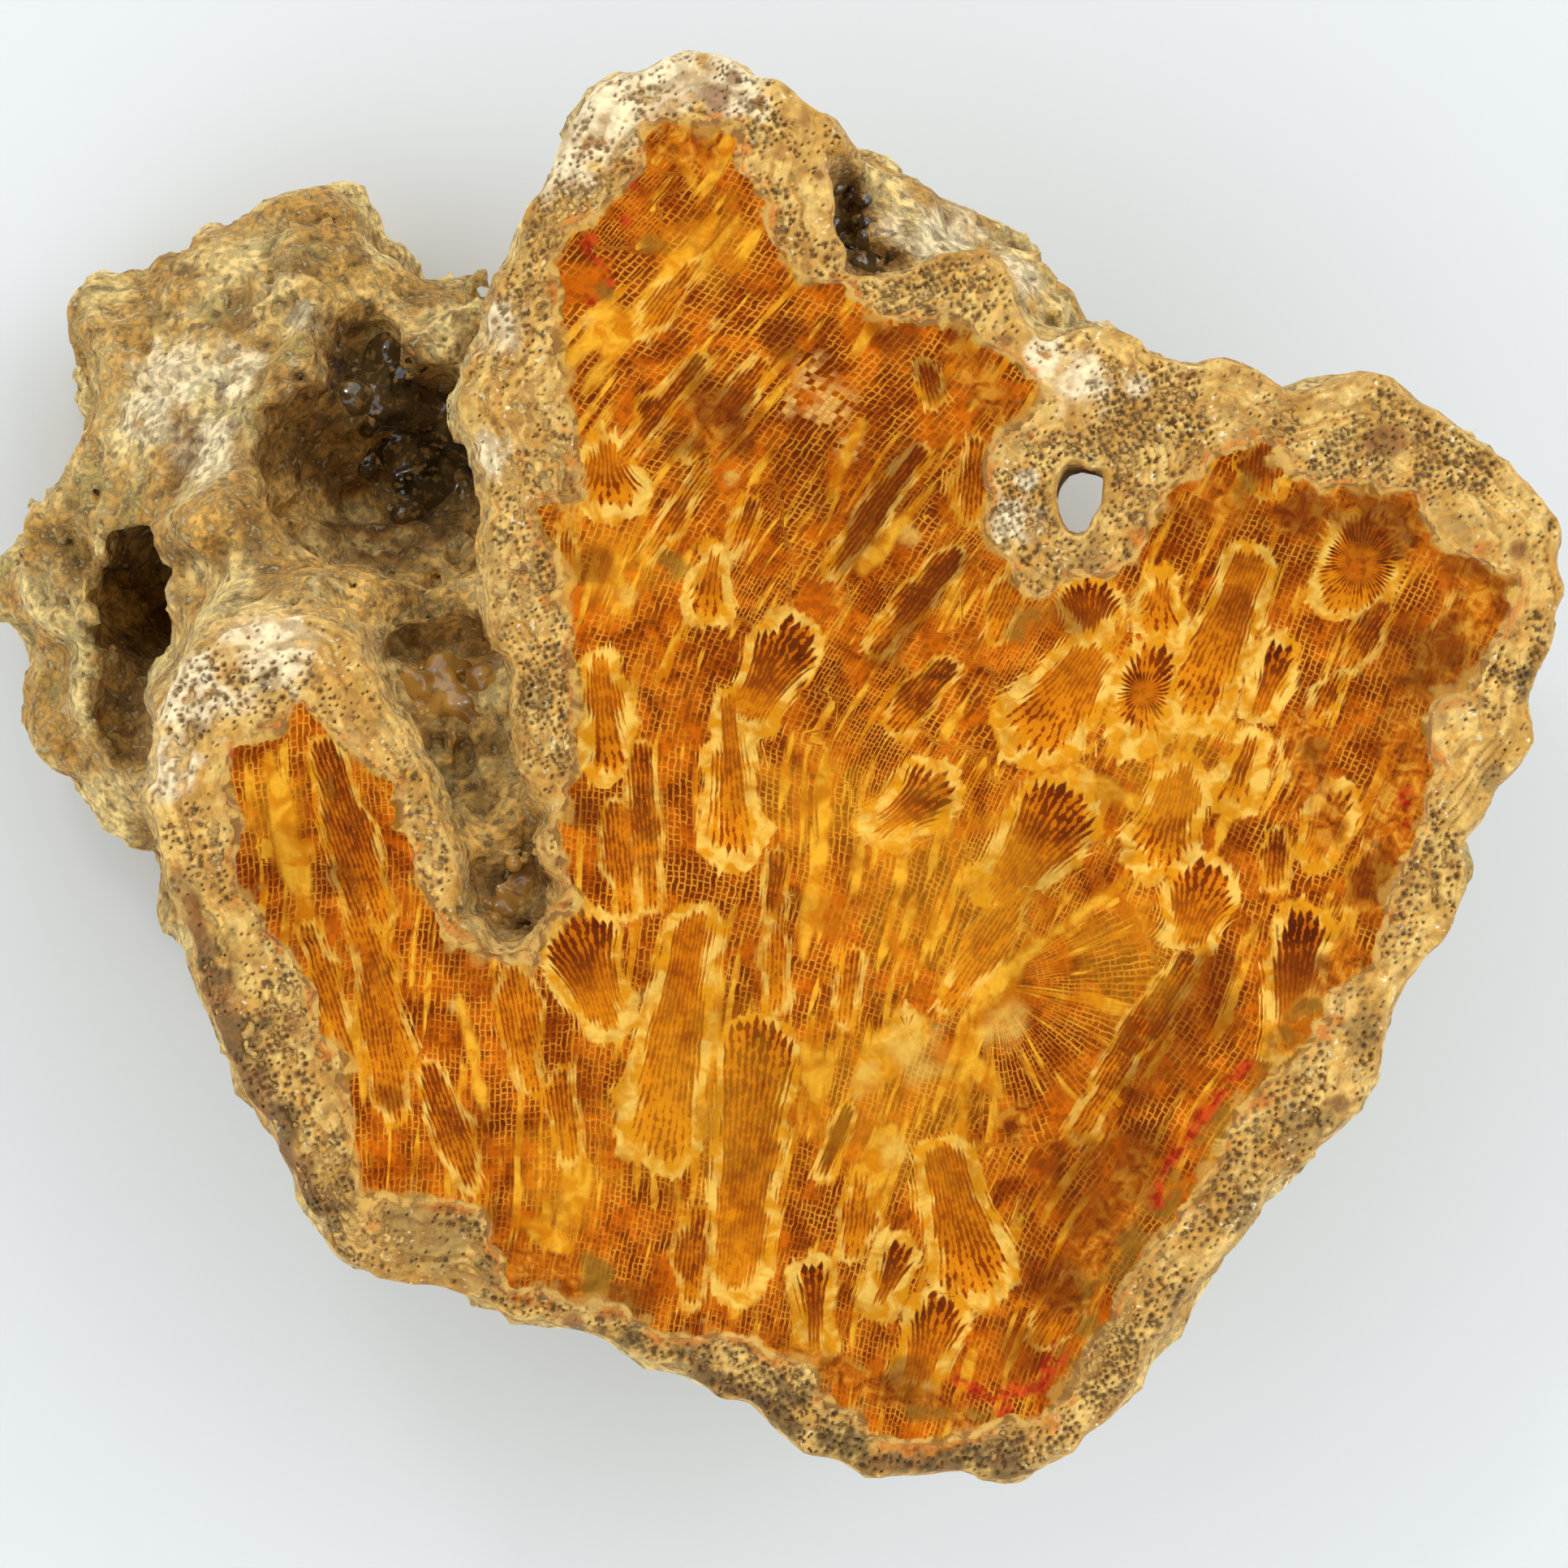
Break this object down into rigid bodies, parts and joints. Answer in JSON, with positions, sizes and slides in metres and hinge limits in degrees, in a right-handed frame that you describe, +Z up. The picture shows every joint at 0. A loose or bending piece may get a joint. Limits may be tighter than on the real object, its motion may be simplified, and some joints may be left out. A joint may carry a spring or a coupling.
{
  "type": "fossil coral",
  "caption": "Lump of agatised fossil coral with one sawn and polished face, a porous rind, hollows lined with glassy chalcedony and a flat cut to rest on.",
  "frame": {"origin": "middle of the bounding box at the height of the flat resting cut", "axes": "+Z up, out of the polished face; +X along the lump's longest extent, from the small lobe towards the right shoulder; +Y towards the top lobe"},
  "size_m": [0.1746, 0.1486, 0.076],
  "materials": {
    "coral": "polished amber and orange coral pattern on the sawn face, porous cream-tan rind, rough khaki-brown sides",
    "chalcedony": "glassy smoky grey, slightly translucent"
  },
  "bodies": {
    "root": {"coral": "coral", "main_hollow_chalcedony": "chalcedony", "shelf_chalcedony": "chalcedony", "cleft_chalcedony": "chalcedony", "top_hollow_chalcedony": "chalcedony"}
  },
  "joints": []
}
